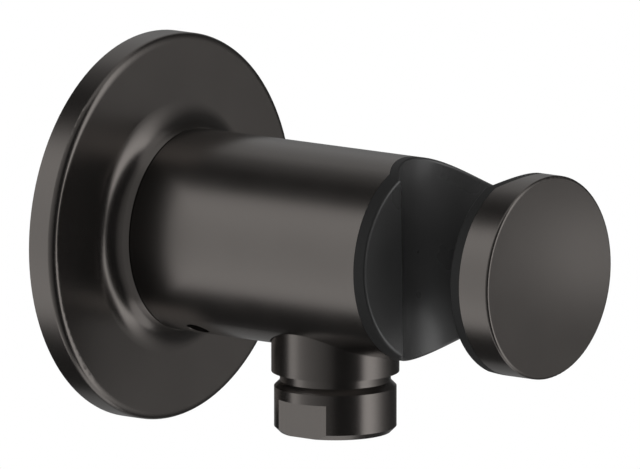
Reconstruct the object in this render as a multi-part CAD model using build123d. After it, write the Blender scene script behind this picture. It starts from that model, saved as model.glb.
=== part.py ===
from build123d import *
from build123d.topology import SkipClean
import os
from math import cos, radians, sqrt, tan

# A wall outlet elbow with a hand shower holder. Millimetres.
# The origin is the centre of the rosette on the wall plane, -Y is out of the wall, +Z is up.
# Sizes that end in "out" are distances from the wall.

# Rosette
rosette_diameter = 66.8
rosette_thickness = 5.4
rosette_edge_radius = 1.3
rosette_face_wall = 2.4
rosette_rim_wall = 2.2
collar_height = 3.7
collar_step = 0.1
collar_draft = 21.0
collar_wall = 1.2
collar_front_wall = 3.0
collar_root_radius = 4.1

# Body bar
body_diameter = 34.8
body_front_radius = 0.5
body_rear_chamfer = 0.2
water_bore_diameter = 12.0
water_bore_past_outlet = 7.0
drill_point_angle = 118.0

# Holder slot in the bar, and the liner in the slot
outlet_wall = 3.635
seat_radius = 11.9
seat_taper = 0.76
throat_rear = 8.05
throat_front = 9.15
mouth_flare = 0.8
liner_wall = 2.0
liner_rear_wall = 2.435
liner_front_wall = 2.135
liner_clearance = 0.05
liner_lip_radius = 0.5
web_thickness = 2.7
end_disc_thickness = 6.03

# Wall nipple
pipe_thread_diameter = 20.955
wall_thread_length = 16.0
wall_thread_chamfer = 1.2
wall_relief_depth = 1.3
wall_relief_length = 2.0
hexagon_corner_clearance = 0.7
hexagon_front_gap = 0.9
spigot_diameter = 21.9
spigot_end_out = 27.5
spigot_end_chamfer = 0.8
spigot_clearance = 0.05
spigot_end_gap = 0.5
nipple_bore_diameter = 11.0
key_across_flats = 12.0
key_depth = 9.0

# O-rings: a section is the height of the squeezed ring, the side room is its play in the groove
ring_clearance = 0.01
ring_side_room = 0.35
spigot_ring_section = 1.6
spigot_ring_setbacks = {"front": 2.6, "rear": 6.2}
rosette_ring_section = 1.3
rosette_hole_clearance = 0.15

# Soft seal behind the rosette
seal_width = 4.0
seal_clearance = 0.1

# Grub screw
screw_setback = 7.6
screw_tilt = 27.5
screw_diameter = 4.0
screw_recess = 1.2
screw_tip_diameter = 1.6
screw_tip_gap = 0.1
screw_key_across_flats = 2.0
screw_key_depth = 2.0
screw_clearance = 0.02
screw_hole_chamfer = 0.1
screw_groove_depth = 1.2

# Outlet nipple
outlet_out = 40.2
shoulder_diameter = 21.9
shoulder_reach = 3.7
shoulder_depth = 5.4
shoulder_clearance = 0.2
gasket_thickness = 0.6
fixing_thread_diameter = 16.66
fixing_thread_length = 6.0
fixing_thread_clearance = 0.02
groove_depth = 0.98
groove_length = 1.6
hose_end_length = 10.4
hose_end_chamfer = 0.95
flat_depth = 1.33
flat_length = 6.05
outlet_flow_diameter = 11.0

# Non-return valve
valve_recess = 2.5
valve_diameter = 13.9
valve_clearance = 0.05
valve_ring_section = 1.1
valve_ring_drop = 2.6
valve_inlet_length = 4.0
valve_chamber_diameter = 11.2
poppet_flow_gap = 0.85
poppet_seal_height = 1.15
poppet_lip_height = 0.35
poppet_seat_overlap = 0.75
poppet_seat_gap = 0.05
poppet_core_diameter = 4.8
poppet_bead = 0.5
poppet_bead_height = 0.8
poppet_nose_height = 0.8
poppet_flange_step = 0.15
poppet_flange_thickness = 1.0
poppet_stem_diameter = 2.4
poppet_travel = 2.5
stem_clearance = 0.05
guide_hub_margin = 0.5
guide_hub_height = 2.4
guide_hub_setback = 0.6
guide_ring_wall = 0.7
guide_ring_height = 2.6
guide_spokes = 3
guide_spoke_thickness = 1.0
guide_clearance = 0.02
spring_reserve = 0.5
spring_turns = 3.5
spring_wire = 0.4
spring_diameter = 4.6
spring_end_gap = 0.02

# How far a cutting solid runs past the surface that it cuts
cut_margin = 2.0

# Stations along the body, worked out from the sizes above
body_start_out = rosette_thickness + collar_height
collar_floor_out = body_start_out - collar_front_wall
hexagon_front_out = collar_floor_out - hexagon_front_gap
rosette_ring_out = (collar_floor_out + body_start_out) / 2
screw_out = body_start_out + screw_setback
screw_axis = Location((0, -screw_out, 0), (0, screw_tilt, 0))
socket_floor_out = spigot_end_out + spigot_end_gap

# Radii
rosette_radius = rosette_diameter / 2
rosette_hollow_radius = rosette_radius - rosette_rim_wall
rosette_hollow_depth = rosette_thickness - rosette_face_wall
body_radius = body_diameter / 2
collar_radius = body_radius + collar_step
collar_foot_radius = collar_radius + collar_height * tan(radians(collar_draft))
collar_bore_radius = collar_radius - collar_wall
spigot_radius = spigot_diameter / 2
socket_radius = spigot_radius + spigot_clearance
spigot_ring_floor = socket_radius - spigot_ring_section
rosette_hole_radius = spigot_radius + rosette_hole_clearance
pipe_thread_radius = pipe_thread_diameter / 2
fixing_thread_radius = fixing_thread_diameter / 2
shoulder_radius = shoulder_diameter / 2
outlet_flow_radius = outlet_flow_diameter / 2

# Place of the holder: a wall of metal stands between the outlet's hole and the pocket
pocket_radius = seat_radius + liner_wall
seat_offset = body_radius - web_thickness - pocket_radius
seat_out = outlet_out + shoulder_radius + shoulder_clearance + outlet_wall + pocket_radius
slot_rear = throat_rear + mouth_flare + liner_rear_wall
slot_front = throat_front + liner_front_wall
body_end_out = seat_out + slot_front + end_disc_thickness

# Heights of the outlet nipple
outlet_axis = Location((0, -outlet_out, 0))
shoulder_seat_z = -(body_radius - shoulder_depth)
shoulder_top_z = shoulder_seat_z - gasket_thickness
shoulder_bottom_z = -(body_radius + shoulder_reach)
groove_bottom_z = shoulder_bottom_z - groove_length
hose_end_z = shoulder_bottom_z - hose_end_length
flat_top_z = hose_end_z + flat_length

# Sizes and heights of the valve with its poppet closed, from the bottom up
chamber_radius = valve_diameter / 2 + valve_clearance
seal_radius = valve_chamber_diameter / 2 - poppet_flow_gap
seal_top_radius = seal_radius - poppet_lip_height
valve_inlet_radius = seal_radius - poppet_seat_overlap
spring_length = poppet_travel + spring_turns * spring_wire + spring_reserve
valve_bottom_z = hose_end_z + valve_recess
hub_bottom_z = valve_bottom_z + guide_hub_setback
hub_top_z = hub_bottom_z + guide_hub_height
flange_bottom_z = hub_top_z + spring_length
flange_top_z = flange_bottom_z + poppet_flange_thickness
seal_top_z = flange_top_z + poppet_seal_height
valve_seat_z = seal_top_z + poppet_seat_gap + seal_top_radius - valve_inlet_radius
valve_top_z = valve_seat_z + valve_inlet_length


def turned_on_y(corners, rounds=None):
    """A solid turned about the body's axis from corners of (radius, out), with the named ones rounded."""
    points = [(radius, -out) for radius, out in corners]
    radii = [(rounds or {}).get(corner, 0) for corner in corners]
    outline = FilletPolyline(*points, radius=radii, close=True)
    return revolve(make_face(outline), Axis.Y)


def turned_on_z(corners):
    """A solid turned about the Z axis from corners of (radius, z)."""
    outline = Polyline(*corners, close=True)
    return revolve(Plane.XZ * make_face(outline), Axis.Z)


def bar_on_y(radius, start_out, end_out):
    """A round bar along the body's axis."""
    bar = Cylinder(radius, end_out - start_out)
    return Pos(0, -(start_out + end_out) / 2, 0) * Rot(90, 0, 0) * bar


def bar_on_z(radius, low_z, high_z):
    """A round bar along the Z axis."""
    return Pos(0, 0, (low_z + high_z) / 2) * Cylinder(radius, high_z - low_z)


def hexagon_on_y(across_flats, start_out, end_out):
    """A hexagonal bar along the body's axis."""
    face = RegularPolygon(across_flats / 2, 6, major_radius=False)
    return Pos(0, -start_out, 0) * Rot(90, 0, 0) * extrude(face, end_out - start_out)


def ring_on_y(inner_radius, section, out):
    """An O-ring about the body's axis, from its inner radius and squeezed height."""
    ring = Torus(inner_radius + section / 2, section / 2 - ring_clearance)
    return Pos(0, -out, 0) * Rot(90, 0, 0) * ring


def make_rosette():
    """The wall plate: a hollow disc with a rounded rim and a tapered collar on a concave root."""
    rim_edge = (rosette_radius, rosette_thickness)
    collar_root = (collar_foot_radius, rosette_thickness)
    corners = [
        (rosette_radius, 0),
        rim_edge,
        collar_root,
        (collar_radius, body_start_out),
        (rosette_hole_radius, body_start_out),
        (rosette_hole_radius, collar_floor_out),
        (collar_bore_radius, collar_floor_out),
        (collar_bore_radius, rosette_hollow_depth),
        (rosette_hollow_radius, rosette_hollow_depth),
        (rosette_hollow_radius, 0),
    ]
    rounds = {rim_edge: rosette_edge_radius, collar_root: collar_root_radius}
    half = rosette_ring_section / 2 + ring_side_room
    groove_radius = spigot_radius + rosette_ring_section
    groove = bar_on_y(groove_radius, rosette_ring_out - half, rosette_ring_out + half)
    return turned_on_y(corners, rounds) - groove


def make_rosette_seal():
    """The soft ring in the rosette's hollow, flush with the wall."""
    outer = rosette_hollow_radius - seal_clearance
    ring = bar_on_y(outer, 0, rosette_hollow_depth)
    return ring - bar_on_y(outer - seal_width, 0, rosette_hollow_depth)


def spigot_ring_outs():
    """Where the O-rings of the spigot sit, by name."""
    return {place: spigot_end_out - setback for place, setback in spigot_ring_setbacks.items()}


def spigot_ring_groove(out):
    """A square groove round the spigot."""
    half = spigot_ring_section / 2 + ring_side_room
    band = bar_on_y(spigot_radius + cut_margin, out - half, out + half)
    return band - bar_on_y(spigot_ring_floor, out - half, out + half)


def screw_groove():
    """The V groove round the spigot that the grub screw's point seats in."""
    floor_half = screw_tip_diameter / 2 + screw_tip_gap
    top_half = floor_half + screw_groove_depth + cut_margin
    corners = [
        (spigot_radius - screw_groove_depth, screw_out - floor_half),
        (spigot_radius + cut_margin, screw_out - top_half),
        (spigot_radius + cut_margin, screw_out + top_half),
        (spigot_radius - screw_groove_depth, screw_out + floor_half),
    ]
    return turned_on_y(corners)


def make_wall_nipple():
    """The nipple in the wall: pipe thread, hexagon, and the spigot with its grooves."""
    thread_end_out = -(wall_relief_length + wall_thread_length)
    relief_radius = pipe_thread_radius - wall_relief_depth
    corners = [
        (0, thread_end_out),
        (pipe_thread_radius - wall_thread_chamfer, thread_end_out),
        (pipe_thread_radius, thread_end_out + wall_thread_chamfer),
        (pipe_thread_radius, -wall_relief_length),
        (relief_radius, -wall_relief_length),
        (relief_radius, 0),
        (spigot_radius, 0),
        (spigot_radius, spigot_end_out - spigot_end_chamfer),
        (spigot_radius - spigot_end_chamfer, spigot_end_out),
        (0, spigot_end_out),
    ]
    hexagon_corner = collar_bore_radius - hexagon_corner_clearance
    across_flats = 2 * hexagon_corner * cos(radians(30))
    nipple = turned_on_y(corners) + hexagon_on_y(across_flats, 0, hexagon_front_out)
    for out in spigot_ring_outs().values():
        nipple -= spigot_ring_groove(out)
    nipple -= screw_groove()
    nipple -= bar_on_y(nipple_bore_diameter / 2, thread_end_out, spigot_end_out)
    return nipple - hexagon_on_y(key_across_flats, spigot_end_out - key_depth, spigot_end_out)


def make_grub_screw():
    """The grub screw from below on the holder's side, with a cone point and a hexagon socket."""
    radius = screw_diameter / 2 - screw_clearance
    tip = screw_tip_diameter / 2
    tip_z = -(spigot_radius - screw_groove_depth + screw_tip_gap)
    foot_z = -(body_radius - screw_recess)
    corners = [
        (0, foot_z),
        (radius, foot_z),
        (radius, tip_z - (radius - tip)),
        (tip, tip_z),
        (0, tip_z),
    ]
    key = RegularPolygon(screw_key_across_flats / 2, 6, major_radius=False)
    socket = Pos(0, 0, foot_z) * extrude(key, screw_key_depth)
    return screw_axis * (turned_on_z(corners) - socket)


def screw_hole():
    """The tapped hole for the grub screw, with its chamfered mouth."""
    radius = screw_diameter / 2
    flare = screw_hole_chamfer + cut_margin
    chamfer_top_z = -(body_radius - screw_hole_chamfer)
    corners = [
        (0, 0),
        (radius, 0),
        (radius, chamfer_top_z),
        (radius + flare, chamfer_top_z - flare),
        (0, chamfer_top_z - flare),
    ]
    return screw_axis * turned_on_z(corners)


def water_bores():
    """The socket for the spigot, the bore along the axis and the stepped hole to the outlet."""
    bore = water_bore_diameter / 2
    bore_end_out = outlet_out + water_bore_past_outlet
    point = bore / tan(radians(drill_point_angle / 2))
    along = [
        (0, body_start_out - cut_margin),
        (socket_radius, body_start_out - cut_margin),
        (socket_radius, socket_floor_out),
        (bore, socket_floor_out),
        (bore, bore_end_out),
        (0, bore_end_out + point),
    ]
    fixing = fixing_thread_radius + fixing_thread_clearance
    fixing_top_z = shoulder_seat_z + fixing_thread_length
    shoulder = shoulder_radius + shoulder_clearance
    mouth_z = -(body_radius + cut_margin)
    down = [
        (0, 0),
        (outlet_flow_radius, 0),
        (outlet_flow_radius, fixing_top_z),
        (fixing, fixing_top_z),
        (fixing, shoulder_seat_z),
        (shoulder, shoulder_seat_z),
        (shoulder, mouth_z),
        (0, mouth_z),
    ]
    return turned_on_y(along) + outlet_axis * turned_on_z(down)


def slot_block(shrink):
    """The slot through the bar: a round pocket and a straight mouth to the -X side."""
    reach = body_radius + cut_margin
    pocket = Pos(seat_offset, 0) * Circle(pocket_radius - shrink)
    width = slot_rear + slot_front - 2 * shrink
    mouth = Pos(-reach / 2, (slot_rear - slot_front) / 2) * Rectangle(reach, width)
    return Pos(0, -seat_out, -reach) * extrude(pocket + mouth, 2 * reach)


def seat_cut():
    """The tapered seat, wider at the top, and its mouth with an upright front and a flared rear wall."""
    reach = body_radius + cut_margin
    spread = reach * tan(radians(seat_taper))
    seat = Pos(seat_offset, 0, 0) * Cone(seat_radius - spread, seat_radius + spread, 2 * reach)
    throat_x = seat_offset - sqrt(seat_radius**2 - throat_rear**2)
    slope = mouth_flare / (body_radius + throat_x)
    ends = []
    for z, extra in ((-reach, -spread), (reach, spread)):
        inner = throat_rear + extra - slope * (seat_offset - throat_x)
        outer = throat_rear + extra + slope * (reach + throat_x)
        front = -throat_front
        corners = [(seat_offset, inner), (-reach, outer), (-reach, front), (seat_offset, front)]
        ends.append(Pos(0, 0, z) * make_face(Polyline(*corners, close=True)))
    return Pos(0, -seat_out, 0) * (seat + loft(ends, ruled=True))


def make_body():
    """The bar with its holder slot, water bores and grub screw hole."""
    front_edge = (body_radius, body_end_out)
    corners = [
        (0, body_start_out),
        (body_radius - body_rear_chamfer, body_start_out),
        (body_radius, body_start_out + body_rear_chamfer),
        front_edge,
        (0, body_end_out),
    ]
    bar = turned_on_y(corners, {front_edge: body_front_radius})
    return bar - water_bores() - screw_hole() - slot_block(0)


def make_holder_liner():
    """The liner in the slot, flush with the bar, with rounded lips and throat corners."""
    block = slot_block(liner_clearance) & bar_on_y(body_radius, body_start_out, body_end_out)
    liner = block - seat_cut()
    return fillet(new_edges(block, combined=liner), liner_lip_radius)


def make_flatted_end():
    """The lower stretch of the hose end, with two spanner flats."""
    corners = [
        (chamber_radius, flat_top_z),
        (pipe_thread_radius, flat_top_z),
        (pipe_thread_radius, hose_end_z + hose_end_chamfer),
        (pipe_thread_radius - hose_end_chamfer, hose_end_z),
        (chamber_radius, hose_end_z),
    ]
    end = turned_on_z(corners)
    flat = Box(2 * flat_depth, pipe_thread_diameter, flat_length)
    for side in (-1, 1):
        end -= Pos(side * pipe_thread_radius, 0, hose_end_z + flat_length / 2) * flat
    return end


def make_outlet_nipple():
    """The outlet: fixing thread, shoulder, groove and the hose end, with an edge where the flats start."""
    groove = pipe_thread_radius - groove_depth
    corners = [
        (outlet_flow_radius, shoulder_top_z + fixing_thread_length),
        (fixing_thread_radius, shoulder_top_z + fixing_thread_length),
        (fixing_thread_radius, shoulder_top_z),
        (shoulder_radius, shoulder_top_z),
        (shoulder_radius, shoulder_bottom_z),
        (groove, shoulder_bottom_z),
        (groove, groove_bottom_z),
        (pipe_thread_radius, groove_bottom_z - groove_depth),
        (pipe_thread_radius, flat_top_z),
        (chamber_radius, flat_top_z),
        (chamber_radius, valve_top_z),
        (outlet_flow_radius, valve_top_z),
    ]
    with SkipClean():
        nipple = turned_on_z(corners) + make_flatted_end()
    return outlet_axis * nipple


def make_nipple_gasket():
    """The flat gasket on the outlet nipple's shoulder."""
    gasket = bar_on_z(shoulder_radius, shoulder_top_z, shoulder_seat_z)
    hole = fixing_thread_radius + fixing_thread_clearance
    return outlet_axis * (gasket - bar_on_z(hole, shoulder_top_z, shoulder_seat_z))


def make_valve_housing():
    """The valve's sleeve with its seat cone and outer O-ring groove."""
    chamber = valve_chamber_diameter / 2
    outer = valve_diameter / 2
    groove = chamber_radius - valve_ring_section
    ring_z = valve_top_z - valve_ring_drop
    ring_half = valve_ring_section / 2 + ring_side_room
    corners = [
        (valve_inlet_radius, valve_top_z),
        (outer, valve_top_z),
        (outer, ring_z + ring_half),
        (groove, ring_z + ring_half),
        (groove, ring_z - ring_half),
        (outer, ring_z - ring_half),
        (outer, valve_bottom_z),
        (chamber, valve_bottom_z),
        (chamber, valve_seat_z - (chamber - valve_inlet_radius)),
        (valve_inlet_radius, valve_seat_z),
    ]
    return outlet_axis * turned_on_z(corners)


def make_valve_ring():
    """The O-ring round the valve's housing."""
    middle = chamber_radius - valve_ring_section / 2
    ring = Torus(middle, valve_ring_section / 2 - ring_clearance)
    return outlet_axis * Pos(0, 0, valve_top_z - valve_ring_drop) * ring


def make_valve_poppet():
    """The poppet: nose, bead that holds the seal, flange and guide stem."""
    core = poppet_core_diameter / 2
    bead = core + poppet_bead
    flange = seal_radius - poppet_flange_step
    stem = poppet_stem_diameter / 2
    bead_top_z = seal_top_z + poppet_bead_height
    nose_z = bead_top_z + poppet_nose_height
    corners = [
        (0, nose_z),
        (bead - poppet_nose_height, nose_z),
        (bead, bead_top_z),
        (bead, seal_top_z),
        (core, seal_top_z),
        (core, flange_top_z),
        (flange, flange_top_z),
        (flange, flange_bottom_z),
        (stem, flange_bottom_z),
        (stem, hub_bottom_z),
        (0, hub_bottom_z),
    ]
    return outlet_axis * turned_on_z(corners)


def make_valve_lip_seal():
    """The soft ring on the poppet, with a lip that closes on the seat cone."""
    core = poppet_core_diameter / 2
    corners = [
        (core, seal_top_z),
        (seal_top_radius, seal_top_z),
        (seal_radius, seal_top_z - poppet_lip_height),
        (seal_radius, flange_top_z),
        (core, flange_top_z),
    ]
    return outlet_axis * turned_on_z(corners)


def make_valve_guide():
    """The guide: a hub for the stem on spokes in a ring pressed into the housing."""
    outer = valve_chamber_diameter / 2 - guide_clearance
    ring_top_z = valve_bottom_z + guide_ring_height
    hub_radius = (spring_diameter + spring_wire) / 2 + guide_hub_margin
    ring = bar_on_z(outer, valve_bottom_z, ring_top_z)
    ring -= bar_on_z(outer - guide_ring_wall, valve_bottom_z, ring_top_z)
    guide = ring + bar_on_z(hub_radius, hub_bottom_z, hub_top_z)
    spoke_top_z = min(ring_top_z, hub_top_z)
    spoke_length = outer - guide_ring_wall / 2
    spoke = Box(spoke_length, guide_spoke_thickness, spoke_top_z - hub_bottom_z)
    spoke = Pos(spoke_length / 2, 0, (hub_bottom_z + spoke_top_z) / 2) * spoke
    for turn in range(guide_spokes):
        guide += Rot(0, 0, turn * 360 / guide_spokes) * spoke
    stem_hole = poppet_stem_diameter / 2 + stem_clearance
    return outlet_axis * (guide - bar_on_z(stem_hole, hub_bottom_z, hub_top_z))


def make_valve_spring():
    """The spring between the guide's hub and the poppet's flange."""
    height = spring_length - spring_wire - 2 * spring_end_gap
    path = Helix(height / spring_turns, height, spring_diameter / 2)
    wire = Plane(origin=path @ 0, z_dir=path % 0) * Circle(spring_wire / 2)
    spring = sweep(wire, path=path, is_frenet=True)
    return outlet_axis * Pos(0, 0, hub_top_z + spring_wire / 2 + spring_end_gap) * spring


def make_parts():
    """Every piece of the fitting by its name."""
    parts = {
        "body": make_body(),
        "rosette": make_rosette(),
        "rosette_seal": make_rosette_seal(),
        "rosette_o_ring": ring_on_y(spigot_radius, rosette_ring_section, rosette_ring_out),
        "wall_nipple": make_wall_nipple(),
        "grub_screw": make_grub_screw(),
        "holder_liner": make_holder_liner(),
        "outlet_nipple": make_outlet_nipple(),
        "nipple_gasket": make_nipple_gasket(),
        "valve_housing": make_valve_housing(),
        "valve_o_ring": make_valve_ring(),
        "valve_poppet": make_valve_poppet(),
        "valve_lip_seal": make_valve_lip_seal(),
        "valve_guide": make_valve_guide(),
        "valve_spring": make_valve_spring(),
    }
    for place, out in spigot_ring_outs().items():
        parts[f"{place}_spigot_o_ring"] = ring_on_y(spigot_ring_floor, spigot_ring_section, out)
    return parts


os.makedirs("parts", exist_ok=True)
for name, part in make_parts().items():
    export_step(part, f"parts/{name}.step")
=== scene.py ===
"""Looks of a wall outlet elbow with a hand shower holder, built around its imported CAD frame."""

import logging
import math
from dataclasses import dataclass, field, replace
from enum import Enum

import bmesh
import bpy
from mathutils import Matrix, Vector


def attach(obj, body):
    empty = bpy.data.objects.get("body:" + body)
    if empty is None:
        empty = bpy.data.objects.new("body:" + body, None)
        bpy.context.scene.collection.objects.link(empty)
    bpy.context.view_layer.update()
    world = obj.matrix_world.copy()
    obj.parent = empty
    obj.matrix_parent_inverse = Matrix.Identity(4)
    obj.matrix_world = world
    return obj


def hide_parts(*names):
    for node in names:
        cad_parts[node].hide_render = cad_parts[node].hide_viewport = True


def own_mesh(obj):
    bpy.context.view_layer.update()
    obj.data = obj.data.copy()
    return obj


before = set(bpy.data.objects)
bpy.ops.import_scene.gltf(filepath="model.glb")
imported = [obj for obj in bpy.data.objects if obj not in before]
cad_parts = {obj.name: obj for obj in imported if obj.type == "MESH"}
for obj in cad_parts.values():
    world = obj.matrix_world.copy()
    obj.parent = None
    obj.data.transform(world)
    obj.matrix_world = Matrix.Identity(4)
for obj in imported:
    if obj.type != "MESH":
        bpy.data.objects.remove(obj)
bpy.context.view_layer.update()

log = logging.getLogger("outlet_elbow")

Tree = bpy.types.NodeTree
Socket = bpy.types.NodeSocket

MM = 0.001
WHITE = (1.0, 1.0, 1.0, 1.0)
# Points of one mesh that lie this close are merged, and edges bent by more than this angle are drawn sharp.
MERGE_MM = 0.001
SHARP_DEG = 20.0
# Places of the outlet and the grub screw along the bar.
OUTLET_Y_MM = -40.2
SCREW_Y_MM = -16.7
# Finer layers of the slow and the fine noise, and the range that most of a noise lies in.
CLOUD_LAYERS = {"Detail": 3.0, "Roughness": 0.5}
GRAIN_LAYERS = {"Detail": 2.0, "Roughness": 0.6}
NOISE_LOW, NOISE_HIGH = 0.3, 0.7
# From this share of metal on, a finish takes no index of refraction.
METAL_FROM = 0.5


class TurningAxis(Enum):
    """The axis that a piece was turned about on the lathe, as factors that keep X, Y and Z across it."""

    BAR = (1.0, 0.0, 1.0)
    OUTLET = (1.0, 1.0, 0.0)


def linear(colour: str) -> tuple[float, float, float, float]:
    """Turns an sRGB hex colour into linear values.

    Args:
        colour: six hex digits after a hash sign.
    Returns:
        Linear red, green, blue and an alpha of one.
    """
    shares = [int(colour[i:i + 2], 16) / 255 for i in (1, 3, 5)]
    r, g, b = (s / 12.92 if s <= 0.04045 else ((s + 0.055) / 1.055) ** 2.4 for s in shares)
    return r, g, b, 1.0


def add_node(tree: Tree, kind: str, inputs: dict | None = None, **settings) -> bpy.types.Node:
    """Adds one node, with its settings, values and links.

    Args:
        tree: node tree that takes the node.
        kind: Blender's name for the node type.
        inputs: values by input name or number, where an output socket is linked.
        settings: properties of the node itself.
    Returns:
        The new node.
    """
    node = tree.nodes.new(kind)
    for key, value in settings.items():
        setattr(node, key, value)
    for key, value in (inputs or {}).items():
        if isinstance(value, Socket):
            tree.links.new(value, node.inputs[key])
        else:
            node.inputs[key].default_value = value
    return node


def maths(tree: Tree, operation: str, *values: Socket | float) -> Socket:
    """Adds a math node and gives the socket of its result."""
    return add_node(tree, "ShaderNodeMath", dict(enumerate(values)), operation=operation).outputs["Value"]


def vectors(tree: Tree, operation: str, *values: Socket | tuple, result: str = "Vector") -> Socket:
    """Adds a vector math node and gives the socket of its result."""
    return add_node(tree, "ShaderNodeVectorMath", dict(enumerate(values)), operation=operation).outputs[result]


def map_range(
    tree: Tree, value: Socket, low: float, high: float, to_low: float = 0.0, to_high: float = 1.0, **settings,
) -> Socket:
    """Maps a value from one range to another and holds it inside.

    Args:
        tree: node tree that takes the node.
        value: what is mapped.
        low: start of the value's range.
        high: end of the value's range.
        to_low: result at the start.
        to_high: result at the end.
        settings: properties of the node itself.
    Returns:
        The socket with the result.
    """
    inputs = {"Value": value, "From Min": low, "From Max": high, "To Min": to_low, "To Max": to_high}
    return add_node(tree, "ShaderNodeMapRange", inputs, **settings).outputs["Result"]


def mix_colours(tree: Tree, share: Socket, first: Socket | tuple, second: Socket | tuple) -> Socket:
    """Mixes two colours, which the mix node takes at its inputs 6 and 7 and gives at its output 2."""
    return add_node(tree, "ShaderNodeMix", {0: share, 6: first, 7: second}, data_type="RGBA").outputs[2]


def mix_values(tree: Tree, share: Socket, first: Socket | float, second: Socket | float) -> Socket:
    """Mixes two numbers, which the mix node takes at its inputs 2 and 3 and gives at its output 0."""
    return add_node(tree, "ShaderNodeMix", {0: share, 2: first, 3: second}).outputs[0]


def noise(tree: Tree, place: Socket, size_mm: float, layers: dict[str, float]) -> Socket:
    """Adds a noise texture.

    Args:
        tree: node tree that takes the node.
        place: object coordinates.
        size_mm: mean size of the noise's spots.
        layers: how many finer layers it has, and how strong they are.
    Returns:
        The socket with the noise, about 0.5.
    """
    inputs = {"Vector": place, "Scale": 1 / (size_mm * MM), **layers}
    return add_node(tree, "ShaderNodeTexNoise", inputs).outputs["Fac"]


def distance_from(
    tree: Tree, place: Socket, axis: TurningAxis, centre_mm: tuple[float, float, float] = (0.0, 0.0, 0.0),
) -> Socket:
    """Measures how far a point lies from an axis.

    Args:
        tree: node tree that takes the nodes.
        place: object coordinates.
        axis: the axis's direction.
        centre_mm: a point on the axis.
    Returns:
        The socket with the distance, in metres.
    """
    centred = vectors(tree, "SUBTRACT", place, tuple(c * MM for c in centre_mm))
    return vectors(tree, "LENGTH", vectors(tree, "MULTIPLY", centred, axis.value), result="Value")


@dataclass(frozen=True)
class Finish:
    """A real material with its surface, as one procedural Blender material.

    Grain is the mean size of the surface's fine texture and cloud that of its slow changes.
    """

    name: str
    colour: str
    roughness: float
    metallic: float = 0.0
    ior: float = 1.5
    roughness_swing: float = 0.04
    colour_swing: float = 0.06
    grain_mm: float = 0.3
    cloud_mm: float = 9.0
    relief_mm: float = 0.002

    def build(self) -> bpy.types.Material:
        """Makes the material.

        Returns:
            A new node material named for this finish.
        """
        material = bpy.data.materials.new(self.name)
        material.use_nodes = True
        tree = material.node_tree
        shader = tree.nodes["Principled BSDF"]
        shader.inputs["Metallic"].default_value = self.metallic
        if self.metallic < METAL_FROM:
            shader.inputs["IOR"].default_value = self.ior
        place = add_node(tree, "ShaderNodeTexCoord").outputs["Object"]
        cloud = noise(tree, place, self.cloud_mm, CLOUD_LAYERS)
        grain = noise(tree, place, self.grain_mm, GRAIN_LAYERS)
        height = self.surface_height(tree, place, grain)
        bump = add_node(
            tree, "ShaderNodeBump", {"Strength": 1.0, "Distance": self.relief_mm * MM, "Height": height},
        ).outputs["Normal"]
        tree.links.new(self.surface_colour(tree, place, cloud), shader.inputs["Base Color"])
        tree.links.new(self.surface_roughness(tree, place, cloud), shader.inputs["Roughness"])
        tree.links.new(bump, shader.inputs["Normal"])
        return material

    def surface_colour(self, tree: Tree, place: Socket, cloud: Socket) -> Socket:
        """The base colour, a little darker and lighter in slow clouds.

        Args:
            tree: the material's node tree.
            place: object coordinates.
            cloud: the slow noise.
        Returns:
            The socket with the colour.
        """
        r, g, b, alpha = linear(self.colour)
        swings = (1 - self.colour_swing, 1 + self.colour_swing)
        darker, lighter = ((r * swing, g * swing, b * swing, alpha) for swing in swings)
        return mix_colours(tree, map_range(tree, cloud, NOISE_LOW, NOISE_HIGH), darker, lighter)

    def surface_roughness(self, tree: Tree, place: Socket, cloud: Socket) -> Socket:
        """The roughness, a little lower and higher in slow clouds.

        Args:
            tree: the material's node tree.
            place: object coordinates.
            cloud: the slow noise.
        Returns:
            The socket with the roughness.
        """
        low, high = self.roughness - self.roughness_swing, self.roughness + self.roughness_swing
        return map_range(tree, cloud, NOISE_LOW, NOISE_HIGH, low, high)

    def surface_height(self, tree: Tree, place: Socket, grain: Socket) -> Socket:
        """The height that the bump follows: here the plain grain.

        Args:
            tree: the material's node tree.
            place: object coordinates.
            grain: the fine noise.
        Returns:
            The socket with the height.
        """
        return grain


@dataclass(frozen=True)
class MouldedLiner(Finish):
    """A moulded plastic with a polished inside and a dull outside, by distance from the bar's axis; the
    outside is painted near-black as shade.
    """

    # The near-black colour of the outside faces is painted shade.
    outside_painted_shade_colour: str = "#000000"
    outside_roughness: float = 0.5
    outside_from_mm: float = 17.2
    outside_to_mm: float = 17.35

    def outside_share(self, tree: Tree, place: Socket) -> Socket:
        """Gives how far a point belongs to the outside, from 0 to 1."""
        radius = distance_from(tree, place, TurningAxis.BAR)
        return map_range(tree, radius, self.outside_from_mm * MM, self.outside_to_mm * MM)

    def surface_colour(self, tree: Tree, place: Socket, cloud: Socket) -> Socket:
        """The inside's clouded colour, and on the outside a near-black colour that is painted shade.

        Args:
            tree: the material's node tree.
            place: object coordinates.
            cloud: the slow noise.
        Returns:
            The socket with the colour.
        """
        inside = super().surface_colour(tree, place, cloud)
        return mix_colours(tree, self.outside_share(tree, place), inside, linear(self.outside_painted_shade_colour))

    def surface_roughness(self, tree: Tree, place: Socket, cloud: Socket) -> Socket:
        """The inside's clouded roughness, and the outside's higher one.

        Args:
            tree: the material's node tree.
            place: object coordinates.
            cloud: the slow noise.
        Returns:
            The socket with the roughness.
        """
        inside = super().surface_roughness(tree, place, cloud)
        return mix_values(tree, self.outside_share(tree, place), inside, self.outside_roughness)


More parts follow.
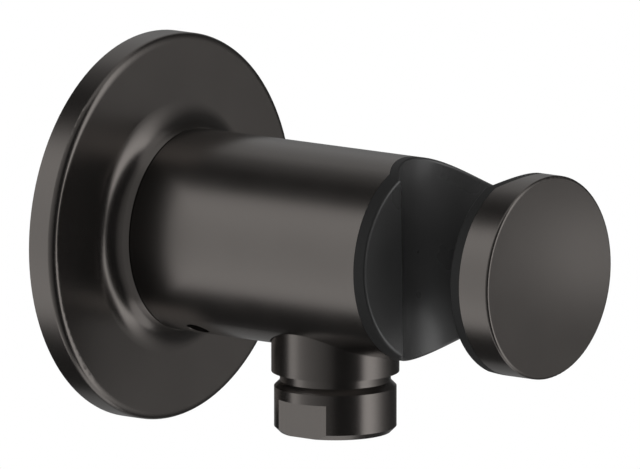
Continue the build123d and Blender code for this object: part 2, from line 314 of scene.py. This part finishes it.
@dataclass(frozen=True)
class TurnedMetal(Finish):
    """A metal turned on the lathe, with faint tool rings about its axis."""

    metallic: float = 1.0
    axis: TurningAxis = TurningAxis.BAR
    centre_mm: tuple[float, float, float] = (0.0, 0.0, 0.0)
    ring_pitch_mm: float = 0.35
    ring_share: float = 0.3

    def surface_height(self, tree: Tree, place: Socket, grain: Socket) -> Socket:
        """The grain with tool rings, which are drawn coarser than real ones so that they show.

        Args:
            tree: the material's node tree.
            place: object coordinates.
            grain: the fine noise.
        Returns:
            The socket with the height.
        """
        radius = distance_from(tree, place, self.axis, self.centre_mm)
        turn = maths(tree, "MULTIPLY", radius, math.tau / (self.ring_pitch_mm * MM))
        return maths(tree, "MULTIPLY_ADD", maths(tree, "SINE", turn), self.ring_share, grain)


# Satin graphite coating on turned brass: a dark warm metal that blurs what it reflects.
GRAPHITE_BAR = TurnedMetal(
    "satin_graphite_on_brass", "#6a6663", 0.245, metallic=0.97, roughness_swing=0.012, colour_swing=0.03,
)
GRAPHITE_OUTLET = replace(
    GRAPHITE_BAR, name="satin_graphite_on_outlet_brass", axis=TurningAxis.OUTLET,
    centre_mm=(0.0, OUTLET_Y_MM, 0.0),
)
# Bare turned brass: yellow, with bright tool rings.
TURNED_BRASS = TurnedMetal("turned_brass", "#c9a45c", 0.24, ring_share=0.6, relief_mm=0.004)
# Moulded black acetal: a smooth seat and lips with soft highlights, and dull faces flush with the bar, painted
# near-black as shade.
BLACK_ACETAL = MouldedLiner(
    "moulded_black_acetal_painted_shade", "#303030", 0.30, ior=1.55, grain_mm=0.25,
    # The outside's near-black colour is painted shade; its higher roughness is a real dull finish.
    outside_painted_shade_colour="#030303", outside_roughness=0.6,
)
# Nitrile rubber: black, smooth and dull.
NITRILE = Finish("nitrile_rubber", "#1b1b1c", 0.55, ior=1.52, grain_mm=0.2, relief_mm=0.004)
# Closed cell foam: grey with fine open bubbles at its skin.
FOAM = Finish("closed_cell_foam", "#4a4a4b", 0.85, ior=1.45, grain_mm=0.5, relief_mm=0.06, colour_swing=0.12)
# Blackened stainless steel of the grub screw.
SCREW_STEEL = TurnedMetal(
    "blackened_stainless_steel", "#4e4e50", 0.35, axis=TurningAxis.OUTLET, centre_mm=(0.0, SCREW_Y_MM, 0.0),
)
# Moulded white and blue acetal of the valve.
WHITE_ACETAL = Finish("moulded_white_acetal", "#dcdcd8", 0.4, ior=1.48)
BLUE_ACETAL = Finish("moulded_blue_acetal", "#2f5a9c", 0.4, ior=1.48)
# Drawn spring wire: bright steel.
SPRING_WIRE = Finish("drawn_spring_wire", "#b6b6b8", 0.22, metallic=1.0, colour_swing=0.04)


@dataclass
class SubAssembly:
    """Pieces of the fitting that belong together, with the finish of each CAD node."""

    finishes: dict[str, Finish]

    def dress(self, built: dict[Finish, bpy.types.Material]) -> None:
        """Gives each CAD node its finish.

        Args:
            built: materials made so far, by finish, which this adds to.
        """
        for node, finish in self.finishes.items():
            if finish not in built:
                built[finish] = finish.build()
            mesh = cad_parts[node].data
            mesh.materials.clear()
            mesh.materials.append(built[finish])
            log.info("%s: %s", node, finish.name)

    def build(self, built: dict[Finish, bpy.types.Material]) -> None:
        """Makes the pieces that stand for CAD nodes, of which most sub-assemblies have none."""

    def merged_copy(self, node: str) -> bmesh.types.BMesh:
        """Copies a CAD node's mesh and merges its loose triangles.

        Args:
            node: the CAD node's name.
        Returns:
            The copy.
        """
        shape = bmesh.new()
        shape.from_mesh(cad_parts[node].data)
        bmesh.ops.remove_doubles(shape, verts=shape.verts, dist=MERGE_MM * MM)
        return shape

    def stand_in(
        self, shape: bmesh.types.BMesh, name: str, node: str, slot: str, material: bpy.types.Material,
    ) -> bpy.types.Object:
        """Turns a shape into a piece of the fitting that stands for a CAD node.

        Args:
            shape: the piece's bmesh, which this frees.
            name: the piece's name.
            node: the CAD node that it stands for.
            slot: the record's material slot; not used.
            material: its finish.
        Returns:
            The new piece.
        """
        bmesh.ops.recalc_face_normals(shape, faces=shape.faces)
        for face in shape.faces:
            face.smooth = True
        mesh = bpy.data.meshes.new(name)
        shape.to_mesh(mesh)
        shape.free()
        # The CAD mesh's own normals no longer fit the changed faces.
        if "custom_normal" in mesh.attributes:
            mesh.attributes.remove(mesh.attributes["custom_normal"])
        mesh.set_sharp_from_angle(angle=math.radians(SHARP_DEG))
        mesh.materials.append(material)
        piece = bpy.data.objects.new(name, mesh)
        bpy.context.scene.collection.objects.link(piece)
        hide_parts(node)
        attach(piece, "fitting")
        log.info("%s: %d faces, for %s", name, len(mesh.polygons), node)
        return piece


@dataclass
class WallConnection(SubAssembly):
    """The nipple in the wall with its rings, the rosette with its seal, and the grub screw.

    The nipple's thread is a G 1/2 pipe thread. Places along it are measured on the wall axis, which is Y.
    """

    finishes: dict[str, Finish] = field(default_factory=lambda: {
        "rosette": GRAPHITE_BAR,
        "rosette_seal": FOAM,
        "rosette_o_ring": NITRILE,
        "wall_nipple": TURNED_BRASS,
        "front_spigot_o_ring": NITRILE,
        "rear_spigot_o_ring": NITRILE,
        "grub_screw": SCREW_STEEL,
    })
    thread_pitch_mm: float = 1.814
    thread_outer_mm: float = 20.955
    thread_root_mm: float = 18.631
    thread_start_mm: float = 2.0
    thread_end_mm: float = 18.0
    flat_share: float = 0.08
    steps_per_turn: int = 72
    lead_in_turns: float = 1.05
    chamfer_mm: float = 1.0
    chamfer_steps: int = 4
    cut_mm: float = 1.0
    bore_limit_mm: float = 7.5
    rim_reach_mm: float = 0.01

    def build(self, built: dict[Finish, bpy.types.Material]) -> None:
        """Makes the nipple with a cut pipe thread, which stands for the plain one.

        Args:
            built: materials made so far, by finish.
        """
        shape = self.merged_copy("wall_nipple")
        bmesh.ops.bisect_plane(
            shape, geom=[*shape.verts, *shape.edges, *shape.faces],
            plane_co=(0.0, self.cut_mm * MM, 0.0), plane_no=(0.0, 1.0, 0.0), clear_outer=True,
        )
        stub = [edge for edge in shape.edges if edge.is_boundary]
        neck = [edge for edge in stub if edge.verts[0].co.xz.length > self.bore_limit_mm * MM]
        bore = [edge for edge in stub if edge not in neck]
        rims = self.cut_thread(shape)
        self.close_end(shape, neck, rims, self.thread_start_mm)
        self.close_end(shape, bore, rims, self.thread_end_mm)
        self.stand_in(shape, "threaded_wall_nipple", "wall_nipple", "plain_brass", built[TURNED_BRASS])

    def close_end(
        self, shape: bmesh.types.BMesh, loop: list[bmesh.types.BMEdge], rims: list[bmesh.types.BMEdge],
        at_mm: float,
    ) -> None:
        """Draws a loop of the cut nipple out to one end of the thread and closes that end with a flat face.

        Args:
            shape: the nipple's bmesh.
            loop: open edges where the nipple was cut.
            rims: open edges at both ends of the thread.
            at_mm: where that end is along the wall axis.
        """
        rim = [edge for edge in rims if abs(edge.verts[0].co.y - at_mm * MM) < self.rim_reach_mm * MM]
        drawn = bmesh.ops.extrude_edge_only(shape, edges=loop)["geom"]
        bmesh.ops.translate(
            shape, verts=[part for part in drawn if isinstance(part, bmesh.types.BMVert)],
            vec=(0.0, (at_mm - self.cut_mm) * MM, 0.0),
        )
        end = [part for part in drawn if isinstance(part, bmesh.types.BMEdge) and part.is_boundary]
        bmesh.ops.triangle_fill(shape, edges=end + rim, use_beauty=True, normal=(0.0, 1.0, 0.0))

    def tooth(self) -> list[tuple[float, float]]:
        """Gives the corners of one tooth, as shares of the pitch and diameters in millimetres."""
        flat, root, outer = self.flat_share, self.thread_root_mm, self.thread_outer_mm
        return [
            (0.0, root), (flat, root), (0.5 - flat, outer),
            (0.5 + flat, outer), (1.0 - flat, root), (1.0, root),
        ]

    def cut_thread(self, shape: bmesh.types.BMesh) -> list[bmesh.types.BMEdge]:
        """Sweeps one tooth along a right-hand helix about the wall axis, trims it flat and chamfers its end.

        Args:
            shape: the bmesh that takes the thread.
        Returns:
            The open edges at both ends of the thread.
        """
        pitch, start, end = (v * MM for v in (self.thread_pitch_mm, self.thread_start_mm, self.thread_end_mm))
        foot = start - self.lead_in_turns * pitch
        corners = [
            shape.verts.new((diameter / 2 * MM, foot + share * pitch, 0.0)) for share, diameter in self.tooth()
        ]
        sides = [shape.edges.new(pair) for pair in zip(corners, corners[1:])]
        turns = math.ceil((end - foot) / pitch)
        plain = set(shape.faces)
        bmesh.ops.spin(
            shape, geom=corners + sides, cent=(0.0, 0.0, 0.0), axis=(0.0, 1.0, 0.0),
            dvec=(0.0, pitch / self.steps_per_turn, 0.0), angle=math.tau * turns,
            steps=self.steps_per_turn * turns,
        )
        verts, _, _ = self.thread_parts(shape, plain)
        bmesh.ops.remove_doubles(shape, verts=verts, dist=MERGE_MM * MM)
        self.cut_across(shape, plain, start, clear_inner=True)
        self.cut_across(shape, plain, end, clear_outer=True)
        self.chamfer_end(shape, plain)
        _, edges, _ = self.thread_parts(shape, plain)
        return [edge for edge in edges if edge.is_boundary]

    def thread_parts(
        self, shape: bmesh.types.BMesh, plain: set[bmesh.types.BMFace],
    ) -> tuple[list[bmesh.types.BMVert], list[bmesh.types.BMEdge], list[bmesh.types.BMFace]]:
        """Gives the thread's corners, edges and faces, in the order of its faces.

        That order comes from bmesh's spin and isn't the same in each run.

        Args:
            shape: the nipple's bmesh.
            plain: the nipple's own faces, which aren't the thread's.
        Returns:
            The corners, the edges and the faces.
        """
        faces = [face for face in shape.faces if face not in plain]
        edges = dict.fromkeys(edge for face in faces for edge in face.edges)
        verts = dict.fromkeys(vert for face in faces for vert in face.verts)
        return list(verts), list(edges), faces

    def cut_across(
        self, shape: bmesh.types.BMesh, plain: set[bmesh.types.BMFace], at: float, **cleared: bool,
    ) -> None:
        """Cuts the thread across at one place along the wall axis.

        Args:
            shape: the nipple's bmesh.
            plain: the nipple's own faces, which stay whole.
            at: the place, in metres.
            cleared: which side to clear, if any.
        """
        verts, edges, faces = self.thread_parts(shape, plain)
        bmesh.ops.bisect_plane(
            shape, geom=verts + edges + faces, plane_co=(0.0, at, 0.0), plane_no=(0.0, 1.0, 0.0), **cleared,
        )

    def chamfer_end(self, shape: bmesh.types.BMesh, plain: set[bmesh.types.BMFace]) -> None:
        """Draws the teeth in to a cone of 45 degrees at the thread's far end.

        Args:
            shape: the nipple's bmesh.
            plain: the nipple's own faces, which stay as they are.
        """
        foot, outer = (self.thread_end_mm - self.chamfer_mm) * MM, self.thread_outer_mm / 2 * MM
        for step in range(self.chamfer_steps):
            self.cut_across(shape, plain, foot + step * self.chamfer_mm * MM / self.chamfer_steps)
        verts, _, _ = self.thread_parts(shape, plain)
        for vert in verts:
            inside = outer - max(vert.co.y - foot, 0.0)
            if vert.co.xz.length > inside:
                vert.co.xz = vert.co.xz * (inside / vert.co.xz.length)


@dataclass
class HolderBar(SubAssembly):
    """The bar out of the wall and the plastic liner in its slot, which holds the hand shower."""

    finishes: dict[str, Finish] = field(default_factory=lambda: {
        "body": GRAPHITE_BAR,
        "holder_liner": BLACK_ACETAL,
    })


@dataclass
class HoseOutlet(SubAssembly):
    """The outlet nipple for the hose and its gasket."""

    finishes: dict[str, Finish] = field(default_factory=lambda: {
        "outlet_nipple": GRAPHITE_OUTLET,
        "nipple_gasket": NITRILE,
    })


@dataclass
class NonReturnValve(SubAssembly):
    """The valve in the outlet: housing, guide, spring, and the poppet with its seal."""

    finishes: dict[str, Finish] = field(default_factory=lambda: {
        "valve_housing": WHITE_ACETAL,
        "valve_guide": WHITE_ACETAL,
        "valve_o_ring": NITRILE,
        "valve_spring": SPRING_WIRE,
        "valve_poppet": BLUE_ACETAL,
        "valve_lip_seal": NITRILE,
    })
    spring_foot_mm: tuple[float, float, float] = (0.0, OUTLET_Y_MM, -26.0)
    spring_keep: float = 0.429

    def build(self, built: dict[Finish, bpy.types.Material]) -> None:
        """Makes the spring as a piece of its own, with a mesh of its own.

        Args:
            built: materials made so far, by finish.
        """
        shape = self.merged_copy("valve_spring")
        spring = self.stand_in(shape, "valve_spring_wire", "valve_spring", "spring_steel", built[SPRING_WIRE])
        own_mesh(spring)


@dataclass(frozen=True)
class Softbox:
    """A round lamp that faces the object and shows in its metal, or lights its matte pieces alone."""

    place_mm: tuple[float, float, float]
    target_mm: tuple[float, float, float]
    diameter_mm: float
    radiance: float
    in_metal: bool = True

    def build(self, name: str) -> None:
        """Adds the lamp.

        Args:
            name: the lamp's name.
        """
        lamp = bpy.data.lights.new(name, "AREA")
        lamp.shape = "DISK"
        lamp.size = self.diameter_mm * MM
        # The power of a flat lamp is pi times its radiance times its area.
        lamp.energy = math.pi * self.radiance * math.pi * (self.diameter_mm * MM / 2) ** 2
        holder = bpy.data.objects.new(name, lamp)
        place, target = Vector(self.place_mm) * MM, Vector(self.target_mm) * MM
        holder.location = place
        holder.rotation_mode = "QUATERNION"
        holder.rotation_quaternion = (target - place).to_track_quat("-Z", "Y")
        holder.visible_camera = False
        holder.visible_glossy = self.in_metal
        bpy.context.scene.collection.objects.link(holder)


@dataclass
class LightTent:
    """A tent of cloth and boards far round the object, brighter and darker by compass angle.

    The panels are levels of light by compass angle, in degrees from +X towards +Y. Between the cap angles
    they pass into the cloth overhead and underfoot, and a soft patch of light shines high up behind the
    object. The camera looks through the tent.
    """

    radius_mm: float = 6000.0
    shell_subdivisions: int = 3
    panels: tuple[tuple[float, float], ...] = (
        (-180.0, 0.32),
        (-160.0, 0.20),
        (-148.0, 0.10),
        (-140.0, 0.01),
        (-95.0, 0.01),
        (-86.0, 1.65),
        (-70.0, 1.53),
        (-58.0, 0.95),
        (-48.0, 0.48),
        (-38.0, 0.23),
        (-28.0, 0.15),
        (-16.0, 0.06),
        (16.0, 0.05),
        (24.0, 0.25),
        (58.0, 0.25),
        (66.0, 0.03),
        (122.5, 0.03),
        (127.5, 1.20),
        (140.0, 1.11),
        (150.0, 0.60),
        (165.0, 0.42),
        (180.0, 0.32),
    )
    overhead: float = 0.54
    underfoot: float = 0.33
    cap_from_deg: float = 58.0
    cap_to_deg: float = 75.0
    patch_compass_deg: float = 50.0
    patch_rise_deg: float = 38.0
    patch_edge_deg: float = 34.0
    patch_core_deg: float = 10.0
    patch_level: float = 0.22

    def build(self) -> None:
        """Adds the tent round the origin."""
        shell = bmesh.new()
        bmesh.ops.create_icosphere(shell, subdivisions=self.shell_subdivisions, radius=self.radius_mm * MM)
        bmesh.ops.reverse_faces(shell, faces=shell.faces)
        mesh = bpy.data.meshes.new("light_tent")
        shell.to_mesh(mesh)
        shell.free()
        mesh.materials.append(self.cloth())
        tent = bpy.data.objects.new("light_tent", mesh)
        tent.visible_camera = False
        tent.visible_transmission = False
        bpy.context.scene.collection.objects.link(tent)
        log.info("light tent: %d panels", len(self.panels))

    def cloth(self) -> bpy.types.Material:
        """Makes the glowing cloth of the tent.

        Returns:
            A material that shines by direction from the origin.
        """
        material = bpy.data.materials.new("lit_tent_cloth")
        material.use_nodes = True
        tree = material.node_tree
        place = add_node(tree, "ShaderNodeTexCoord").outputs["Object"]
        direction = vectors(tree, "NORMALIZE", place)
        x, y, z = add_node(tree, "ShaderNodeSeparateXYZ", {0: direction}).outputs
        level = self.panel_light(tree, maths(tree, "ARCTAN2", y, x))
        level = self.capped_light(tree, level, maths(tree, "ARCSINE", z))
        level = maths(tree, "ADD", level, self.patch_light(tree, direction))
        glow = add_node(tree, "ShaderNodeEmission", {"Color": WHITE, "Strength": level}).outputs[0]
        tree.links.new(glow, tree.nodes["Material Output"].inputs["Surface"])
        tree.nodes.remove(tree.nodes["Principled BSDF"])
        return material

    def panel_light(self, tree: Tree, compass: Socket) -> Socket:
        """The light of the panels, on a ramp that goes once round from -180 to 180 degrees.

        Args:
            tree: the cloth's node tree.
            compass: the compass angle, in radians.
        Returns:
            The socket with the light.
        """
        share = maths(tree, "MULTIPLY_ADD", compass, 1 / math.tau, 0.5)
        ramp = add_node(tree, "ShaderNodeValToRGB", {0: share})
        stops = ramp.color_ramp.elements
        given = len(stops)
        brightest = max(level for _, level in self.panels)
        for number, (angle, level) in enumerate(self.panels):
            stop_at = angle / 360 + 0.5
            stop = stops[number] if number < given else stops.new(stop_at)
            stop.position = stop_at
            grey = level / brightest
            stop.color = (grey, grey, grey, 1.0)
        return maths(tree, "MULTIPLY", ramp.outputs["Color"], brightest)

    def capped_light(self, tree: Tree, level: Socket, height: Socket) -> Socket:
        """The panels' light, which passes into the caps overhead and underfoot.

        Args:
            tree: the cloth's node tree.
            level: the light of the panels.
            height: the angle above the horizon, in radians.
        Returns:
            The socket with the light.
        """
        start, full = math.radians(self.cap_from_deg), math.radians(self.cap_to_deg)
        for sign, cap in ((1.0, self.overhead), (-1.0, self.underfoot)):
            share = map_range(tree, height, sign * start, sign * full, interpolation_type="SMOOTHSTEP")
            level = mix_values(tree, share, level, cap)
        return level

    def patch_light(self, tree: Tree, direction: Socket) -> Socket:
        """The light that the soft patch adds, full in its core and none past its edge.

        Args:
            tree: the cloth's node tree.
            direction: the direction from the origin.
        Returns:
            The socket with the light.
        """
        compass, rise = math.radians(self.patch_compass_deg), math.radians(self.patch_rise_deg)
        middle = (math.cos(rise) * math.cos(compass), math.cos(rise) * math.sin(compass), math.sin(rise))
        nearness = vectors(tree, "DOT_PRODUCT", direction, middle, result="Value")
        edge, core = (math.cos(math.radians(angle)) for angle in (self.patch_edge_deg, self.patch_core_deg))
        return map_range(tree, nearness, edge, core, to_high=self.patch_level, interpolation_type="SMOOTHSTEP")


@dataclass
class Studio:
    """The white room with its pale floor, the tent and the lamps."""

    floor_y_mm: float = -34.0
    floor_z_mm: float = -300.0
    floor_radius_mm: float = 100.0
    floor_corners: int = 96
    floor_colour: str = "#f2f1ef"
    floor_roughness: float = 0.9
    tent: LightTent = field(default_factory=LightTent)
    lamps: dict[str, Softbox] = field(default_factory=lambda: {
        "front_softbox": Softbox(
            (78.0, -137.8, -12.0), (12.0, -86.2, 3.0), diameter_mm=18.0, radiance=0.72,
        ),
        "camera_side_fill": Softbox(
            (-1150.0, -960.0, 263.0), (0.0, -60.0, 0.0), diameter_mm=1000.0, radiance=5.0, in_metal=False,
        ),
        "front_fill": Softbox(
            (150.0, -1500.0, 0.0), (0.0, -60.0, 0.0), diameter_mm=1600.0, radiance=3.5, in_metal=False,
        ),
    })

    def build(self) -> None:
        """Adds the white room, the floor, the tent and the lamps."""
        self.build_room()
        self.build_floor()
        self.tent.build()
        for name, lamp in self.lamps.items():
            lamp.build(name)
        log.info("studio: white room, floor, tent and %d lamps", len(self.lamps))

    def build_room(self) -> None:
        """Makes the world plain white, which the camera sees past the tent."""
        room = bpy.data.worlds.new("white_room")
        room.use_nodes = True
        background = room.node_tree.nodes["Background"]
        background.inputs["Color"].default_value = WHITE
        background.inputs["Strength"].default_value = 1.0
        bpy.context.scene.world = room

    def build_floor(self) -> None:
        """Adds the pale round floor below the object, white to the camera, in glass and in metal."""
        bpy.ops.mesh.primitive_circle_add(
            vertices=self.floor_corners, radius=self.floor_radius_mm * MM, fill_type="NGON",
            location=(0.0, self.floor_y_mm * MM, self.floor_z_mm * MM),
        )
        floor = bpy.context.object
        floor.name = "floor"
        material = bpy.data.materials.new("pale_paper_floor")
        material.use_nodes = True
        tree = material.node_tree
        paper = tree.nodes["Principled BSDF"]
        paper.inputs["Base Color"].default_value = linear(self.floor_colour)
        paper.inputs["Roughness"].default_value = self.floor_roughness
        rays = add_node(tree, "ShaderNodeLightPath").outputs
        seen = maths(tree, "MAXIMUM", rays["Is Camera Ray"], rays["Is Transmission Ray"])
        seen = maths(tree, "MAXIMUM", seen, rays["Is Glossy Ray"])
        white = add_node(tree, "ShaderNodeEmission", {"Color": WHITE, "Strength": 1.0}).outputs[0]
        mixed = add_node(tree, "ShaderNodeMixShader", {0: seen, 1: paper.outputs[0], 2: white}).outputs[0]
        tree.links.new(mixed, tree.nodes["Material Output"].inputs["Surface"])
        floor.data.materials.append(material)


@dataclass
class PhotoCamera:
    """A long lens at the photograph's viewing angle."""

    lens_mm: float = 1240.0
    sensor_mm: float = 36.0
    turn_deg: float = 52.05
    rise_deg: float = 10.0887
    aim_right_mm: float = 29.0831
    aim_up_mm: float = -1.9375
    distance_mm: float = 3783.0
    clip_start_m: float = 0.1
    clip_end_m: float = 20.0

    def build(self) -> None:
        """Adds the camera and makes it the scene's."""
        turn, rise = math.radians(self.turn_deg), math.radians(self.rise_deg)
        back = Vector((-math.sin(turn) * math.cos(rise), -math.cos(turn) * math.cos(rise), math.sin(rise)))
        right = Vector((math.cos(turn), -math.sin(turn), 0.0))
        up = back.cross(right)
        data = bpy.data.cameras.new("photo_camera")
        data.lens = self.lens_mm
        data.sensor_width = self.sensor_mm
        data.clip_start = self.clip_start_m
        data.clip_end = self.clip_end_m
        camera = bpy.data.objects.new("photo_camera", data)
        camera.location = (right * self.aim_right_mm + up * self.aim_up_mm + back * self.distance_mm) * MM
        camera.rotation_mode = "QUATERNION"
        camera.rotation_quaternion = (-back).to_track_quat("-Z", "Y")
        bpy.context.scene.collection.objects.link(camera)
        bpy.context.scene.camera = camera
        log.info("camera: %.0f mm lens", self.lens_mm)


def main() -> None:
    """Builds the scene in order."""
    logging.basicConfig(level=logging.INFO, format="%(name)s: %(message)s")
    bpy.context.scene.view_settings.view_transform = "Standard"
    PhotoCamera().build()
    built: dict[Finish, bpy.types.Material] = {}
    for part in (WallConnection(), HolderBar(), HoseOutlet(), NonReturnValve()):
        part.dress(built)
        part.build(built)
    Studio().build()


if __name__ == "__main__":
    main()
